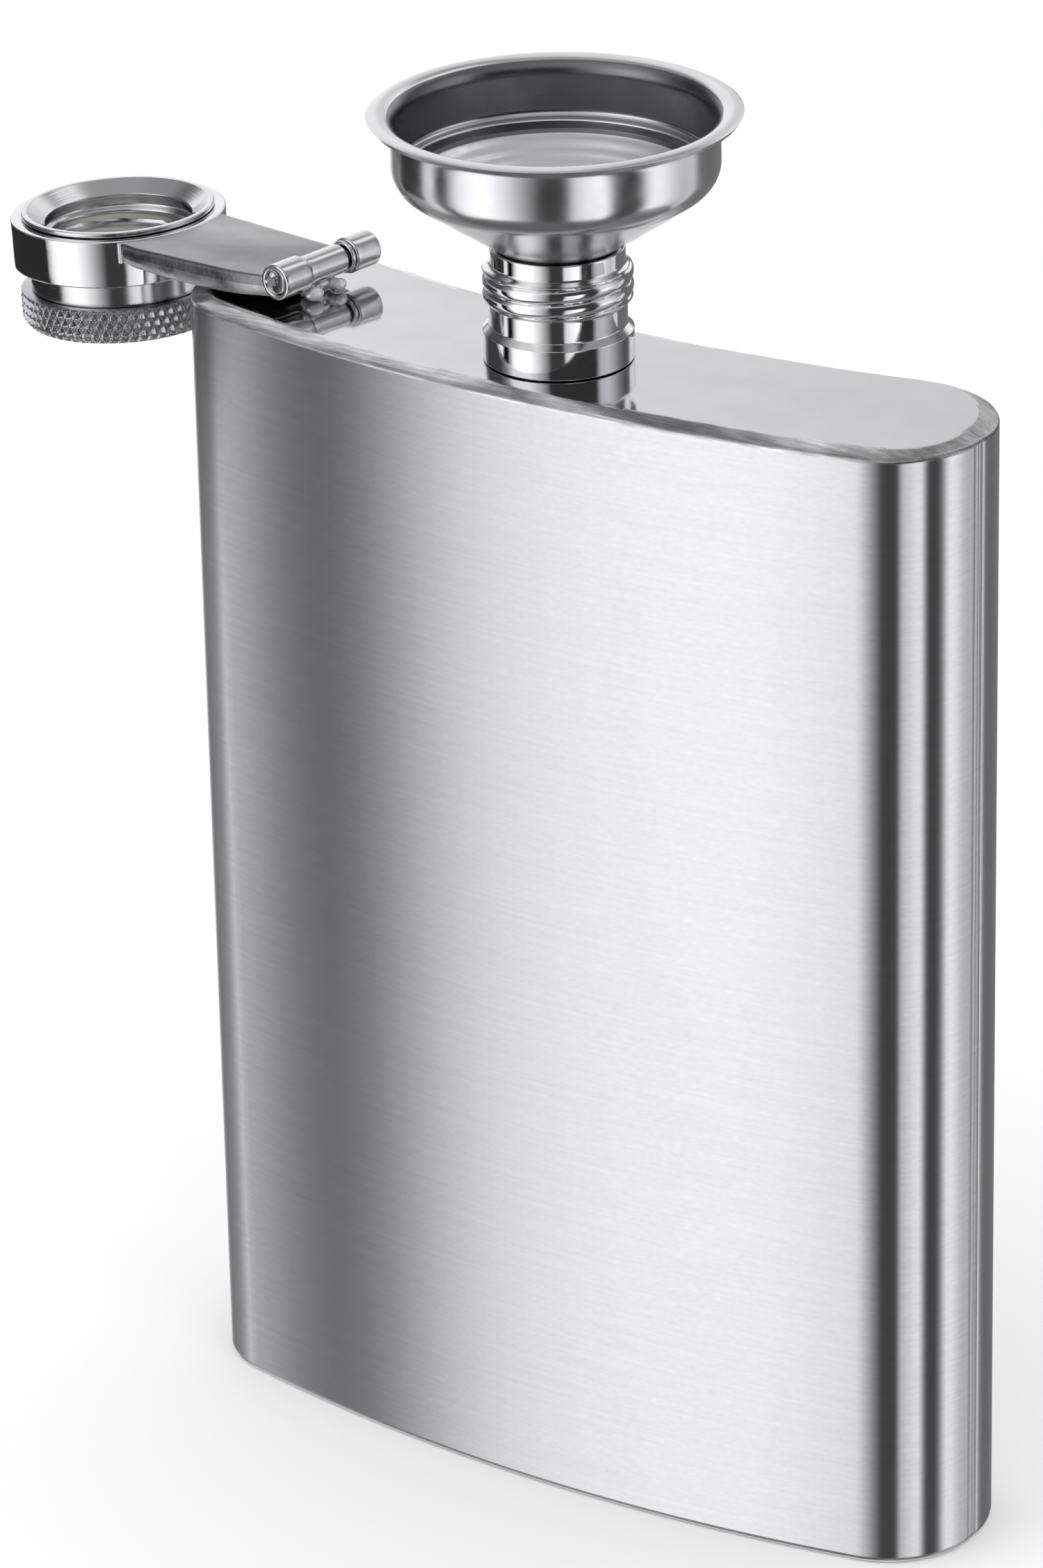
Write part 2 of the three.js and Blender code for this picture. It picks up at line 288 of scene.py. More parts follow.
def body_outline(inset):
    front_y = FRONT_RADIUS - THICKNESS / 2
    back_y = BACK_RADIUS + THICKNESS / 2
    fx = WIDTH / 2 - FRONT_CORNER
    bx = WIDTH / 2 - BACK_CORNER
    fy = front_y - math.sqrt((FRONT_RADIUS - FRONT_CORNER) ** 2 - fx ** 2)
    by = back_y - math.sqrt((BACK_RADIUS + BACK_CORNER) ** 2 - bx ** 2)
    front_turn = math.atan2(fx, front_y - fy)
    back_turn = math.atan2(bx, back_y - by)
    down = -pi / 2
    rf, rb = FRONT_CORNER - inset - CLEAR, BACK_CORNER - inset - CLEAR
    return (
        arc_points(0, front_y, FRONT_RADIUS - inset, down - front_turn, down + front_turn, 90)
        + arc_points(fx, fy, rf, down + front_turn, 0, 48)
        + side_points(WIDTH / 2 - inset, fy, by, 40)
        + arc_points(bx, by, rb, 0, pi / 2 + back_turn, 48)
        + arc_points(0, back_y, BACK_RADIUS + inset, down + back_turn, down - back_turn, 90)
        + arc_points(-bx, by, rb, pi / 2 - back_turn, pi, 32)
        + arc_points(-fx, fy, rf, pi, 1.5 * pi - front_turn, 30)
    )


outlines = {}


def body_outline_at(inset, i):
    """Point i of the outline at an inset, which is rounded so that few outlines have to be made."""
    key = round(inset, 2)
    if key not in outlines:
        outlines[key] = body_outline(key)
    return outlines[key][i]


def loft(levels, closed=True, capped=False):
    """Stacks body outlines given as (inset, height) or (inset, height, wobble).

    A closed stack joins its last outline to its first, and a capped one gets a face at each end.
    """
    points, faces = [], []
    n = len(body_outline(0))
    for inset, z, *wobble in levels:
        for i, (x, y) in enumerate(body_outline(inset)):
            if wobble:
                slack = wobble[0] * noise.noise(Vector((x * 0.12, y * 0.3, 3.7)))
                slack += 0.5 * wobble[0] * noise.noise(Vector((x * 0.7, y * 0.9, 9.1)))
                x, y = body_outline_at(inset + slack, i)
            points.append((x, y, z))
    rows = len(levels)
    for k in range(rows if closed else rows - 1):
        for i in range(n):
            j = (i + 1) % n
            a, b = k * n, (k + 1) % rows * n
            faces.append((a + i, a + j, b + j, b + i))
    if capped:
        faces.append(tuple(range(n))[::-1])
        faces.append(tuple((rows - 1) * n + i for i in range(n)))
    return points, faces


# ---- Node materials ----
class Nodes:
    """Short names for the nodes of one material."""

    def __init__(self, name):
        self.material = bpy.data.materials.new(name)
        self.material.use_nodes = True
        self.tree = self.material.node_tree
        self.shader = self.tree.nodes["Principled BSDF"]
        self.place = self.tree.nodes.new("ShaderNodeTexCoord").outputs["Object"]

    def link(self, a, b):
        self.tree.links.new(a, b)

    def stretched(self, scale):
        node = self.tree.nodes.new("ShaderNodeMapping")
        node.inputs["Scale"].default_value = scale
        self.link(self.place, node.inputs["Vector"])
        return node.outputs["Vector"]

    def noise(self, scale, detail=2.0, rough=0.5):
        """Noise whose features are 1/scale metres in size; scale may be three numbers."""
        node = self.tree.nodes.new("ShaderNodeTexNoise")
        vector = self.stretched(scale if isinstance(scale, tuple) else (scale,) * 3)
        node.inputs["Scale"].default_value = 1
        node.inputs["Detail"].default_value = detail
        node.inputs["Roughness"].default_value = rough
        self.link(vector, node.inputs["Vector"])
        return node.outputs["Fac"]

    def from_neck(self):
        """Distance from the neck's axis, in metres."""
        node = self.tree.nodes.new("ShaderNodeVectorMath")
        node.operation = "DISTANCE"
        self.link(self.stretched((1, 1, 0)), node.inputs[0])
        node.inputs[1].default_value = (NECK_X * MM, 0, 0)
        return node.outputs["Value"]

    def across(self):
        """Distance along X, in metres."""
        node = self.tree.nodes.new("ShaderNodeSeparateXYZ")
        self.link(self.place, node.inputs[0])
        return node.outputs["X"]

    def math(self, operation, a, b=None):
        node = self.tree.nodes.new("ShaderNodeMath")
        node.operation = operation
        for socket, value in zip(node.inputs, (a, b)):
            if value is None:
                continue
            if isinstance(value, (int, float)):
                socket.default_value = value
            else:
                self.link(value, socket)
        return node.outputs[0]

    def range(self, factor, low, high, start=0.3, end=0.7):
        node = self.tree.nodes.new("ShaderNodeMapRange")
        for key, value in (("From Min", start), ("From Max", end), ("To Min", low), ("To Max", high)):
            node.inputs[key].default_value = value
        self.link(factor, node.inputs["Value"])
        return node.outputs[0]

    def bump(self, *layers):
        """Stacks bumps given as (height, depth in metres); returns nothing, and sets the shader's normal."""
        normal = None
        for height, depth in layers:
            node = self.tree.nodes.new("ShaderNodeBump")
            node.inputs["Strength"].default_value = 1
            node.inputs["Distance"].default_value = depth
            self.link(height, node.inputs["Height"])
            if normal:
                self.link(normal, node.inputs["Normal"])
            normal = node.outputs["Normal"]
        self.link(normal, self.shader.inputs["Normal"])

    def tint(self, color, factor, low, high):
        """Base colour times a grey that follows a factor."""
        node = self.tree.nodes.new("ShaderNodeMix")
        node.data_type = "RGBA"
        ends = [socket for socket in node.inputs if socket.type == "RGBA"]
        for socket, share in zip(ends, (low, high)):
            socket.default_value = (*[min(1, c * share) for c in color], 1)
        self.link(self.range(factor, 0, 1), node.inputs["Factor"])
        out = [s for s in node.outputs if s.type == "RGBA"][0]
        self.link(out, self.shader.inputs["Base Color"])

    def set(self, **values):
        for key, value in values.items():
            self.shader.inputs[key.replace("_", " ").title()].default_value = value


def metal(name, color, rough=(0.1, 0.16), anisotropic=0.0, rotation=0.0):
    """A steel with slight roughness changes, and slight tone changes if a color is given; returns its Nodes."""
    m = Nodes(name)
    m.shader.inputs["Metallic"].default_value = 1
    m.shader.inputs["Anisotropic"].default_value = anisotropic
    m.shader.inputs["Anisotropic Rotation"].default_value = rotation
    if color:
        m.tint(color, m.noise(180, 3), 0.97, 1.03)
    m.link(m.range(m.noise(420, 4), *rough), m.shader.inputs["Roughness"])
    return m


def brushed_body():
    """Brushed sideways. Its roughness is nearly even, because uneven roughness shows as blotches in the stripes."""
    m = metal("brushed_body_steel", None, (0.25, 0.26), 0.95, 0.25)
    grain = m.noise((60, 60, 2600), 3, 0.6)
    fine = m.noise((1300, 1300, 2600), 2)
    mixed = m.math("ADD", m.math("MULTIPLY", grain, 0.5), m.math("MULTIPLY", fine, 0.5))
    m.tint((0.63, 0.63, 0.645), mixed, 0.95, 1.05)
    m.bump((m.noise((16, 16, 4), 1), 0.00004))
    return m.material


def ground_edge():
    m = metal("ground_edge_steel", None, (0.24, 0.34))
    lines = m.noise((140, 2400, 4200), 3, 0.6)
    patches = m.noise((300, 600, 900), 3)
    mixed = m.math("ADD", m.math("MULTIPLY", lines, 0.6), m.math("MULTIPLY", patches, 0.4))
    # painted shade: the edge's colour darkens towards the right-hand corner, standing in for a darker reflection there
    painted_corner_shade = m.range(m.across(), 1, 0.66, 0.031, 0.044)          # towards the right-hand corner
    m.tint((0.8, 0.8, 0.81), m.math("MULTIPLY", mixed, painted_corner_shade), 0.42, 1.22)
    m.bump((patches, 0.00003), (lines, 0.000008))
    return m.material


def mirror_top():
    m = metal("mirror_steel", (0.61, 0.61, 0.62), (0.05, 0.09))
    m.bump((m.noise((45, 60, 45), 2), 0.00004), (m.noise(2200, 3), 0.0000004))
    return m.material


def turned_polish(name="polished_steel", color=(0.74, 0.74, 0.755), rough=(0.06, 0.1), depth=0.0000012):
    """Turned and polished, with fine rings around the axis."""
    m = metal(name, color, rough)
    m.bump((m.noise(350, 2), 0.000012), (m.noise((300, 300, 9000), 3), depth))
    return m.material


def arm_steel():
    m = metal("arm_steel", None, (0.24, 0.32))
    m.tint((0.3, 0.3, 0.31), m.noise((60, 110, 60), 2), 0.7, 1.3)
    m.bump((m.noise(160, 2), 0.00004), (m.noise(5200, 3), 0.0000012))
    return m.material


def arm_side(name, color):
    m = metal(name, color, (0.2, 0.34))
    m.bump((m.noise((90, 90, 2500), 3), 0.00001), (m.noise(900, 2), 0.00003))
    return m.material


def weld_steel():
    m = metal("weld_steel", (0.95, 0.95, 0.96), (0.3, 0.42))
    m.set(metallic=0.6)
    m.bump((m.noise(900, 2), 0.00012), (m.noise(5200, 2), 0.000003))
    return m.material


def knurled_steel():
    m = metal("knurled_steel", (0.46, 0.46, 0.475), (0.2, 0.3))
    m.bump((m.noise(5200, 3), 0.000008))
    return m.material


def funnel_steel(name, color, rough, depth):
    m = metal(name, color, rough, 0.35, 0.25)
    m.bump((m.noise(140, 2), 0.00003), (m.noise((260, 260, 7000), 3), depth))
    return m.material


def funnel_inside():
    """The drawn wall inside the bowl, a little rougher, with its colour painted dark grey as painted shade."""
    m = metal("funnel_inside_shaded_steel", (0.23, 0.23, 0.24), (0.26, 0.36))
    m.bump((m.noise((260, 260, 3000), 3), 0.000004), (m.noise(3200, 2), 0.000003))
    return m.material


def funnel_floor():
    m = metal("funnel_floor_steel", None, (0.28, 0.38))
    # painted shade: the floor's colour darkens towards the spout; the fine noise added to it is grain
    painted_shade_by_radius = m.range(m.from_neck(), 0.3, 0.66, 0.0065, 0.0125)
    grain_and_painted_shade = m.math("ADD", painted_shade_by_radius, m.math("MULTIPLY", m.noise(2600, 3), 0.1))
    m.tint((0.8, 0.8, 0.815), grain_and_painted_shade, 0.5, 1.2)
    m.bump((m.noise(2600, 3), 0.000012), (m.noise(300, 2), 0.00003))
    return m.material


def seal_plastic():
    m = Nodes("seal_plastic")
    m.tint((0.82, 0.8, 0.75), m.noise(900, 3), 0.94, 1.04)
    m.set(roughness=0.62)
    m.bump((m.noise(2600, 3), 0.00001))
    return m.material


def dress(piece, body, slot, material, *nodes):
    piece.data.materials.clear()
    piece.data.materials.append(material)
    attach(piece, body)
    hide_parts(*nodes)
    return piece


BODY = brushed_body()
EDGE = ground_edge()
MIRROR = mirror_top()
POLISH = turned_polish()
PIN = turned_polish("pin_steel", (0.6, 0.6, 0.615), (0.14, 0.22), 0.000004)
HINGE = turned_polish("hinge_steel", (0.7, 0.7, 0.715), (0.16, 0.22), 0.000002)
ARM = arm_steel()
# painted light and shade: copies of the arm's steel in other greys, darker for the chamfer and lighter for the side
ARM_CHAMFER_SHADED = arm_side("arm_chamfer_painted_shade", (0.25, 0.25, 0.26))
ARM_SIDE_LIT = arm_side("arm_side_painted_light", (0.46, 0.46, 0.47))
WELD = weld_steel()
KNURL = knurled_steel()
CAP = turned_polish("cap_steel", (0.66, 0.66, 0.675), (0.1, 0.17), 0.00001)
FUNNEL = funnel_steel("funnel_steel", (0.68, 0.68, 0.695), (0.17, 0.24), 0.0000025)
FUNNEL_INSIDE_SHADED = funnel_inside()
FUNNEL_FLOOR = funnel_floor()
SEAL = seal_plastic()

# ---- The flask's body ----
EDGE_LOW = HEIGHT - 0.95         # where the ground edge of the top starts
SHELL_FOOT = 0.75                # height at which the base ends and the shell starts
shell_levels = [(0, SHELL_FOOT), (0, 1.4), (0, 30), (0, 62), (0, 94), (0, EDGE_LOW - 0.6), (0, EDGE_LOW),
                (WALL, EDGE_LOW), (WALL, 62), (WALL, PLATE + 0.05), (WALL, SHELL_FOOT)]
points, faces = loft(shell_levels)
shell = add_mesh("shell", points, faces, IN_FLASK)
dress(shell, "flask", "body_steel", BODY, "body_shell")

base_profile = [(1.3, 0), (0.8, 0.03), (0.35, 0.15), (0.1, 0.4), (0, SHELL_FOOT), (WALL, SHELL_FOOT), (WALL, PLATE)]
points, faces = loft(base_profile, closed=False, capped=True)
base = add_mesh("base_plate", points, faces, IN_FLASK)
dress(base, "flask", "body_steel", BODY, "bottom_plate")


def top_plate():
    """The polished land with its hand-ground edge, on a skirt inside the shell."""
    levels = [(WALL, HEIGHT - PLATE), (WALL, EDGE_LOW), (0, EDGE_LOW), (0.03, EDGE_LOW + 0.14, 0.03),
              (0.16, EDGE_LOW + 0.3, 0.06), (0.5, EDGE_LOW + 0.47, 0.1), (1.1, HEIGHT - 0.24, 0.15),
              (1.6, HEIGHT - 0.05, 0.25), (1.8, HEIGHT - 0.01, 0.25), (2.1, HEIGHT)]
    points, faces = loft(levels, closed=False)
    n = len(points) // len(levels)
    last = (len(levels) - 1) * n
    centre = Vector((NECK_X, 0))
    hole = NECK_TUBE + 0.02
    rim = []
    for i in range(n):
        d = (Vector(points[last + i][:2]) - centre).normalized() * hole
        rim.append((centre.x + d.x, centre.y + d.y))
    high, low = len(points), len(points) + n
    points += [(x, y, HEIGHT) for x, y in rim] + [(x, y, HEIGHT - PLATE) for x, y in rim]
    for i in range(n):
        j = (i + 1) % n
        faces.append((last + i, last + j, high + j, high + i))
        faces.append((high + i, high + j, low + j, low + i))
        faces.append((low + i, low + j, j, i))
    piece = add_mesh("top_land", points, faces, IN_FLASK, 50)
    dress(piece, "flask", "mirror_steel", MIRROR, "top_plate")
    piece.data.materials.append(EDGE)
    for face in piece.data.polygons:
        middle = face.center / MM
        sloping = -0.1 < face.normal.z < 0.9995 and EDGE_LOW < middle.z < HEIGHT - 0.004
        if sloping and Vector((middle.x - NECK_X, middle.y)).length > NECK_TUBE + 0.5:
            face.material_index = 1
    return piece


top_plate()

# ---- Neck ----
neck_outline = split(fillet([
    (NECK_BORE, -NECK_SPIGOT), (NECK_TUBE, -NECK_SPIGOT), (NECK_TUBE, 0.06), (NECK_TUBE + 0.2, 0.12),
    (NECK_COLLAR, 0.12, 0.1), (NECK_COLLAR, 3.2, 0.12), (NECK_ROOT, 3.9, 0.2),
    (NECK_ROOT, 10.2, 0.2), (NECK_TUBE, 10.6, 0.2), (NECK_TUBE, NECK_HEIGHT, 0.12),
    (NECK_BORE + 0.12, NECK_HEIGHT, 0.12), (NECK_BORE, NECK_HEIGHT - 0.3)]), 0.07)
ridges = thread(NECK_COLLAR - NECK_ROOT, NECK_THREAD[0], NECK_THREAD[1], 0.96)
neck = lathe("neck_tube", neck_outline, IN_NECK, 240,
             lambda r, z, a: ridges(r, z, a) if r > NECK_BORE + 0.3 and z > COLLAR_TOP else (r, z), 25)
dress(neck, "flask", "polished_steel", POLISH, "neck")

# ---- Hinge ----
tube_radius = BARREL_RADIUS - 0.05
tube_low, tube_high = CENTRE_BARREL[0], CENTRE_BARREL[1] - 0.15
barrel_outline = split(fillet([(PIN_BORE, tube_low, 0.15), (tube_radius, tube_low, 0.12),
                               (tube_radius, tube_high, 0.12), (PIN_BORE, tube_high, 0.15)], 5), 0.8)
barrel = lathe("hinge_tube", barrel_outline, IN_HINGE @ ALONG_PIN, 72)
dress(barrel, "flask", "polished_steel", HINGE, "hinge_barrel")


def blobs(name, at, balls, voxel, rounds):
    """Melts a list of (centre, radii) balls into one lumpy solid."""
    work = bmesh.new()
    for i, (centre, radii) in enumerate(balls):
        made = bmesh.ops.create_icosphere(work, subdivisions=3, radius=1)["verts"]
        for v in made:
            bulge = 1 + 0.08 * noise.noise(v.co * 1.7 + Vector((i * 5.3, 0, 0)))
            v.co = Vector(centre) + Vector([c * r * bulge for c, r in zip(v.co, radii)])
    mesh = bpy.data.meshes.new(name)
    work.to_mesh(mesh)
    work.free()
    mesh.transform(at @ Matrix.Scale(MM, 4))
    piece = bpy.data.objects.new(name, mesh)
    bpy.context.scene.collection.objects.link(piece)
    remesh = piece.modifiers.new("melt", "REMESH")
    remesh.mode = "VOXEL"
    remesh.voxel_size = voxel * MM
    remesh.adaptivity = 0
    smooth = piece.modifiers.new("smooth", "SMOOTH")
    smooth.factor = 0.5
    smooth.iterations = rounds
    applied(piece)
    piece.data.shade_smooth()
    return piece


# weld along the barrel's foot, the foot itself, and the two lumps that the photo shows
bead = [((0.45, -0.3 + 0.6 * k, -2.55), (0.55, 0.5, 0.45)) for k in range(8)]
foot = [((0.4, -0.2 + 0.5 * k, -1.85), (0.45, 0.45, 0.7)) for k in range(9)]
drops = [((-1.1, 3.95, -2.3), (0.85, 1.15, 0.75)), ((-1.1, 0.1, -2.3), (0.68, 0.85, 0.66)),
         ((-0.3, 3.8, -2.2), (0.9, 0.9, 0.8)), ((-0.3, 0.5, -2.2), (0.85, 0.7, 0.7)),
         ((-0.6, 2.1, -1.8), (0.4, 0.9, 0.35))]
weld = blobs("hinge_weld", IN_HINGE, bead + foot + drops, 0.11, 14)
dress(weld, "flask", "polished_steel", WELD, "hinge_barrel")


ARM_BEAD = (22.95, 8.72)         # the small bead of weld where the arm's front edge meets the ring
BEAD_RADIUS = 0.24
ARM_BOW = 0.55                   # how far the arm's lower edge bows down


def lid_arm():
    """The flat arm, a slab with rounded edges that ends against the ring."""
    wall = RING_OUTER + 0.02
    back_end = -math.asin(5.3 / wall)
    front_end = math.asin(7.95 / wall)
    arc = [(REACH - wall * cos(back_end + (front_end - back_end) * k / 24),
            wall * sin(back_end + (front_end - back_end) * k / 24)) for k in range(25)]
    bead = [(ARM_BEAD[0] + BEAD_RADIUS * cos(radians(a)), ARM_BEAD[1] + BEAD_RADIUS * sin(radians(a)))
            for a in range(-20, 200, 30)]
    front = bead + [(22.3, 8.7), (20.5, 8.98)] + [(18 - 2 * k, 9.0) for k in range(7)] + [(4.2, 8.85), (2.6, 8.55)]
    hinge_end = [(0.3, 8.4), (0.25, 4.9), (2.0, 4.9), (2.0, -2.0), (0.25, -2.0), (0.25, -3.45)]
    back = [(4 + 4.1 * k, -3.5 - 0.42 * k) for k in range(4)]
    plan = [Vector(p) for p in hinge_end + back + arc + front]
    # each side may be drawn in, except where it meets the ring
    first = len(hinge_end + back)
    fixed = set(range(first, first + len(arc) + len(bead) - 1))
    n = len(plan)

    def drawn_in(distance):
        out = []
        for i in range(n):
            here = plan[i]
            sides = []
            for a, b, number in ((plan[i - 1], here, (i - 1) % n), (here, plan[(i + 1) % n], i)):
                along = (b - a).normalized()
                inward = Vector((-along.y, along.x))
                sides.append((inward, 0 if number in fixed else distance))
            (n1, d1), (n2, d2) = sides
            det = n1.x * n2.y - n1.y * n2.x
            if abs(det) < 0.05:
                out.append(here + n1 * max(d1, d2, key=abs) if not (d1 == 0 or d2 == 0) else here.copy())
                continue
            out.append(here + Vector(((d1 * n2.y - d2 * n1.y) / det, (d2 * n1.x - d1 * n2.x) / det)))
        return out

    low, high = ARM_TOP - ARM_THICK - 0.2, ARM_TOP
    shoulder = high - 0.5                          # the lower edge bows down below this
    levels = [(0.28, low), (0.1, low + 0.06), (0.02, low + 0.22), (-0.04, low + 0.7), (-0.05, high - 1.05),
              (0.04, high - 0.5), (0.12, high - 0.2), (0.24, high - 0.05), (0.42, high)]
    points, faces = [], []
    for distance, z in levels:
        deep = ARM_BOW * max(0, (shoulder - z) / (shoulder - low))
        for p in drawn_in(distance):
            points.append((p.x, p.y, z - deep * sin(pi * min(1, max(0, p.x / ARM_BEAD[0])))))
    for k in range(len(levels) - 1):
        for i in range(n):
            j = (i + 1) % n
            faces.append((k * n + i, k * n + j, (k + 1) * n + j, (k + 1) * n + i))
    faces.append(tuple(range(n))[::-1])
    faces.append(tuple((len(levels) - 1) * n + i for i in range(n)))
    return add_mesh("arm_plate", points, faces, IN_LID, 40)


arm = dress(lid_arm(), "lid", "arm_steel", ARM, "lid_arm")
arm.data.materials.append(ARM_CHAMFER_SHADED)
arm.data.materials.append(ARM_SIDE_LIT)
arm.data.materials.append(POLISH)
# painted light and shade: each face takes the top, chamfer or side grey by which way it faces
for face in arm.data.polygons:
    lift = face.normal.dot(ring_axis)
    middle = (IN_LID.inverted() @ face.center) / MM
    at_bead = (Vector(middle[:2]) - Vector(ARM_BEAD)).length < 0.4
    face.material_index = 3 if at_bead else 0 if lift > 0.8 else 1 if lift > 0.1 else 2

front_outline = split(fillet([
    (PIN_BORE, FRONT_KNUCKLE[0], 0.1), (KNUCKLE_RADIUS, FRONT_KNUCKLE[0], 0.2),
    (KNUCKLE_RADIUS, FRONT_KNUCKLE[1], 0.45), (1.5, FRONT_KNUCKLE[1], 0.2),
    (PIN_BORE + 0.05, FRONT_KNUCKLE[1] - 0.75, 0.1)], 5), 0.7)
back_outline = split(fillet([
    (PIN_BORE, BACK_KNUCKLE[0] + 0.3, 0.1), (1.35, BACK_KNUCKLE[0], 0.2), (KNUCKLE_RADIUS, BACK_KNUCKLE[0], 0.3),
    (KNUCKLE_RADIUS, BACK_KNUCKLE[1], 0.22), (SPACER_RADIUS - 0.3, BACK_KNUCKLE[1], 0.08),
    (SPACER_RADIUS - 0.3, SPACER[0] + 0.12, 0.05), (SPACER_RADIUS, SPACER[0] + 0.12, 0.22),
    (SPACER_RADIUS, SPACER[1], 0.22), (PIN_BORE, SPACER[1], 0.1)], 5), 0.7)
for name, outline in (("knuckle_front", front_outline), ("knuckle_back", back_outline)):
    knuckle = lathe(name, outline, IN_LID @ ALONG_PIN, 72)
    dress(knuckle, "lid", "polished_steel", HINGE, "lid_arm")


def peened(r, z, a):
    """The hammered head of the pin, pushed off to one side."""
    if z < FRONT_KNUCKLE[1] - 1.2:
        return r, z
    dimple = 0.5 * math.exp(-((r * cos(a) - 0.3) ** 2 + (r * sin(a) - 0.35) ** 2) / 0.16)
    return r * (1 + 0.05 * sin(2 * a + 0.6) + 0.03 * sin(5 * a)), z + 0.2 * r * cos(a - 3.9) - dimple


head = FRONT_KNUCKLE[1] - 0.28
pin_outline = split(fillet([
    (0, BACK_KNUCKLE[0] + 0.25), (PIN_RADIUS, BACK_KNUCKLE[0] + 0.25, 0.2), (PIN_RADIUS, FRONT_KNUCKLE[1] - 0.9),
    (1.32, head - 0.12, 0.12), (1.1, head + 0.02, 0.1), (0, head + 0.08)], 4), 0.2)
hinge_pin = lathe("hinge_rivet", pin_outline, IN_LID @ ALONG_PIN, 48, peened)
dress(hinge_pin, "lid", "pin_steel", PIN, "hinge_pin")

# ---- Guide ring ----
ring_outline = split(fillet([
    (RING_BORE, RING_FOOT, 0.15), (RING_OUTER, RING_FOOT, 0.2), (RING_OUTER, ARM_TOP, 0.16),
    (RING_BORE, ARM_TOP, 0.2)], 5), 1.2)


FILED = 0.012


def hand_filed(r, z, a):
    """A slightly uneven outside, as a filed weld leaves it."""
    if r < RING_OUTER - 0.5:
        return r, z
    return r + FILED * (sin(3 * a + 1) - 2), z


ring = lathe("ring_guide", ring_outline, IN_RING, 160, hand_filed)
dress(ring, "lid", "polished_steel", POLISH, "guide_ring")

# ---- Screw cap ----
cap_outline = split(fillet([
    (RING_BORE - 0.2, KNOB_FACE + 0.1, 0.05), (BARREL_OUTER, KNOB_FACE + 0.9, 0.2),
    (BARREL_OUTER, ARM_TOP + 0.08, 0.08), (LIP_RADIUS, ARM_TOP + 0.08, 0.12), (LIP_RADIUS, LIP_TOP, 0.16),
    (MOUTH_RADIUS + 0.1, LIP_TOP, 0.15), (MOUTH_THROAT, LIP_TOP - 1.3, 0.12), (MOUTH_THROAT, LIP_TOP - 1.6, 0.1),
    (CAP_BORE + 0.05, LIP_TOP - 2.0, 0.1), (CAP_BORE + 0.05, SEAL_GAP, 0.1),
    (SEAL_RADIUS + 0.05, SEAL_GAP - 0.1, 0.1), (SEAL_RADIUS + 0.05, KNOB_FLOOR + 0.06),
    (SEAT_RADIUS, KNOB_FLOOR + 0.06), (SEAT_RADIUS, KNOB_FACE + 0.1)]), 0.14)


grooves = thread(CAP_GROOVE, CAP_THREAD[0], CAP_THREAD[1])


def cap_thread(r, z, a):
    if r > CAP_BORE + 0.2 or z < SEAL_GAP or z > -1.2:
        return r, z
    r2, _ = grooves(r, z, a)
    return 2 * r - r2, z


cap = lathe("cap_tube", cap_outline, IN_RING, 180, cap_thread)
dress(cap, "cap", "cap_steel", CAP, "cap_barrel")

KNURL_TEETH = 64
WHEEL_RADIUS = KNOB_RADIUS - 0.03
KNURL_RISE = 1.9
KNURL_DEPTH = 0.54
KNURL_ROWS = 22
WHEEL_ROUND = 1.1


def knurl(r, z, a):
    """Diamonds between two sets of helical grooves, fading out at the upper edge."""
    if r < WHEEL_RADIUS - 0.75:
        return r, z
    one = (a * KNURL_TEETH / (2 * pi) + z / KNURL_RISE) % 1
    two = (a * KNURL_TEETH / (2 * pi) - z / KNURL_RISE) % 1
    groove = max(abs(2 * one - 1), abs(2 * two - 1))
    fade = smoothstep(KNOB_FACE, KNOB_FACE - 0.25, z) if z > KNOB_FACE - 0.25 else 1
    fade *= smoothstep(WHEEL_RADIUS - 0.75, WHEEL_RADIUS - 0.3, r)
    return r - KNURL_DEPTH * fade * max(0, groove - 0.12) / 0.88, z


wheel_round = [(WHEEL_RADIUS - WHEEL_ROUND + WHEEL_ROUND * sin(pi / 2 * k / 7),
                KNOB_END + WHEEL_ROUND - WHEEL_ROUND * cos(pi / 2 * k / 7)) for k in range(8)]
side_height = KNOB_FACE - 0.2 - KNOB_END - WHEEL_ROUND
wheel_side = [(WHEEL_RADIUS, KNOB_END + WHEEL_ROUND + side_height * (k + 1) / KNURL_ROWS)
              for k in range(KNURL_ROWS)]
wheel_outline = ([(0, KNOB_END + 0.12), (7.6, KNOB_END + 0.12), (8.0, KNOB_END + 0.04), (8.4, KNOB_END)] + wheel_round
                 + wheel_side + [(WHEEL_RADIUS - 0.08, KNOB_FACE - 0.06), (WHEEL_RADIUS - 0.3, KNOB_FACE),
                                 (SEAT_RADIUS + 0.06, KNOB_FACE), (SEAT_RADIUS + 0.06, KNOB_FLOOR), (0, KNOB_FLOOR)])
wheel = lathe("cap_wheel", wheel_outline, IN_RING, KNURL_TEETH * 8, knurl, 60)
dress(wheel, "cap", "knurled_steel", KNURL, "cap_knob")

seal_low = KNOB_FLOOR + 0.05
seal_high = seal_low + SEAL_THICK
seal_outline = fillet([(0, seal_low), (SEAL_RADIUS - 0.02, seal_low, 0.1), (SEAL_RADIUS - 0.02, seal_high, 0.15),
                       (7.2, seal_high, 0.1), (6.9, seal_high - 0.12, 0.1), (0, seal_high - 0.12)])
seal = lathe("cap_washer", seal_outline, IN_RING, 96)
dress(seal, "seal", "seal_plastic", SEAL, "cap_seal")

# ---- Funnel ----
inner = BOWL_RADIUS - SHEET
floor = BOWL_FOOT + SHEET * 1.2
LIP_ROUND = 1.9
LIP_STEPS = 16
LIP_SWEEP = radians(121.2)
lip_r = inner + LIP_ROUND
lip_z = RIM_HEIGHT - LIP_ROUND


def lip(radius, start, end):
    """The rolled lip, an arc from the bowl's wall over the top and outwards."""
    turns = [start + (end - start) * k / LIP_STEPS for k in range(LIP_STEPS + 1)]
    return [(lip_r - radius * cos(a), lip_z + radius * sin(a)) for a in turns]


